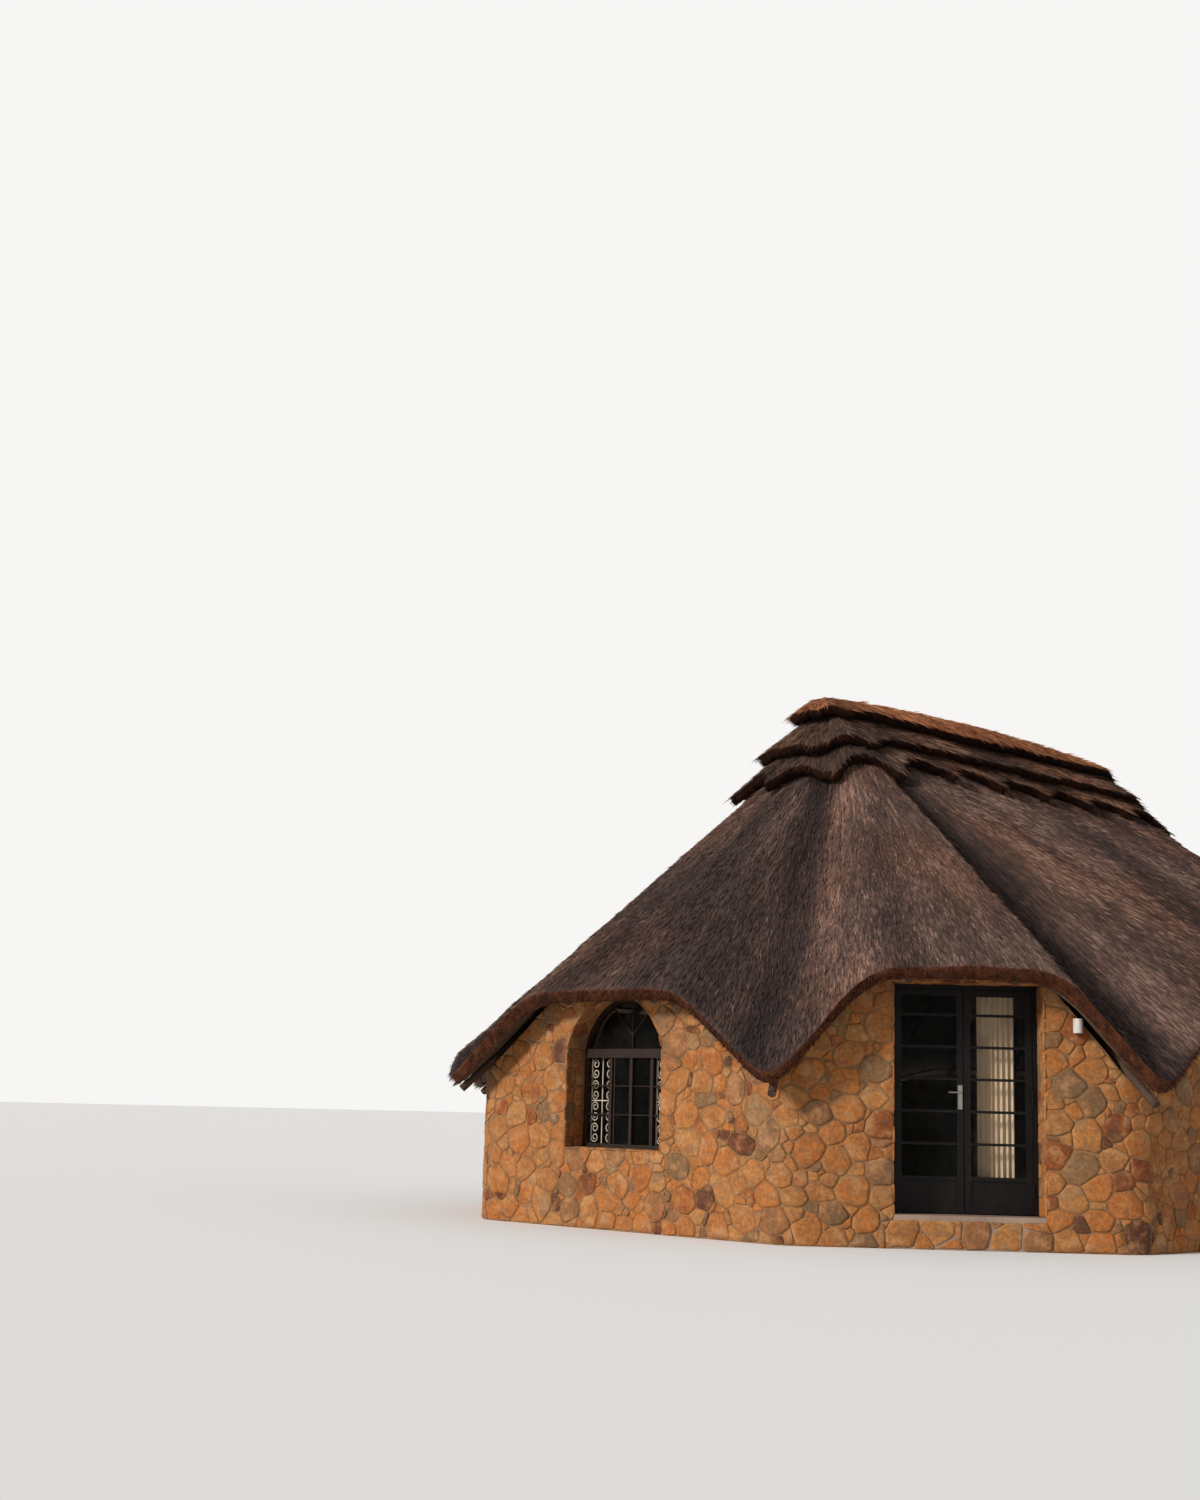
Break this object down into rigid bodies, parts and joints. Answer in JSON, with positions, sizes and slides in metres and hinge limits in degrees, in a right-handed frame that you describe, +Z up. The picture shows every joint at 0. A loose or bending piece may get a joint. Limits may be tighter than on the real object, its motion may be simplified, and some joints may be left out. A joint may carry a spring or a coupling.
{
  "type": "stone and thatch rondavel hut",
  "caption": "Elongated stone rondavel with a scalloped hipped thatch roof, tiered ridge cap, glazed steel double door and arched windows.",
  "frame": {"origin": "centre of the plan at the foot of the walls", "axes": "+X along the ridge away from the near end with the arched window, +Z up; the door is on the side between -X and -Y"},
  "size_m": [12.49, 9.59, 5.9005],
  "materials": {
    "rubble_stone": "rough rubble in ochre, tan and buff with thin recessed joints",
    "screed": "smooth grey-brown cement screed",
    "door_steel": "near-black paint, satin",
    "handle_metal": "satin silver",
    "window_frame": "dark brown paint, satin",
    "window_glass": "clear, slightly dusty",
    "guard_white": "white paint, satin",
    "thatch": "weathered grass thatch, grey-brown with tan streaks",
    "cap_thatch": "weathered grass thatch with reddish cut edges",
    "roof_poles": "dark stained round poles",
    "cream_cloth": "cream curtain cloth",
    "grey_cloth": "grey curtain cloth",
    "rail_steel": "black paint",
    "lamp_white": "white housing"
  },
  "bodies": {
    "hut": {"window_end_wall": "rubble_stone", "door_wall_left": "rubble_stone", "door_wall_right": "rubble_stone", "door_wall_over": "rubble_stone", "front_long_wall": "rubble_stone", "front_far_corner_wall": "rubble_stone", "far_end_wall": "rubble_stone", "back_far_corner_wall": "rubble_stone", "back_long_wall": "rubble_stone", "back_near_corner_wall": "rubble_stone", "floor_slab": "screed", "door_sill": "screed", "door_frame": "door_steel", "end_window_frame": "window_frame", "end_window_glass": "window_glass", "end_window_guards": "guard_white", "far_window_frame": "window_frame", "far_window_glass": "window_glass", "far_window_guards": "guard_white", "front_ribbon_frame": "window_frame", "front_ribbon_glass": "window_glass", "back_ribbon_frame": "window_frame", "back_ribbon_glass": "window_glass", "thatch_window_end": "thatch", "thatch_door_side": "thatch", "thatch_front": "thatch", "thatch_front_far_corner": "thatch", "thatch_far_end": "thatch", "thatch_back_far_corner": "thatch", "thatch_back": "thatch", "thatch_back_near_corner": "thatch", "ridge_cap_lower": "cap_thatch", "ridge_cap_middle": "cap_thatch", "ridge_cap_top": "cap_thatch", "rafters": "roof_poles", "ridge_pole": "roof_poles", "cream_curtain": "cream_cloth", "grey_curtain": "grey_cloth", "curtain_rail": "rail_steel", "wall_lamp": "lamp_white"},
    "left_leaf": {"left_door_leaf": "door_steel", "left_door_glass": "window_glass", "door_handle": "handle_metal"},
    "right_leaf": {"right_door_leaf": "door_steel", "right_door_glass": "window_glass"}
  },
  "joints": [
    {"name": "left_leaf_hinge", "type": "hinge", "parent": "hut", "child": "left_leaf", "pos_m": [-4.86443, -2.60762, 1.35], "axis": [0, 0, -1], "range_deg": [0, 90]},
    {"name": "right_leaf_hinge", "type": "hinge", "parent": "hut", "child": "right_leaf", "pos_m": [-3.96287, -3.50918, 1.35], "axis": [0, 0, 1], "range_deg": [0, 90]}
  ]
}
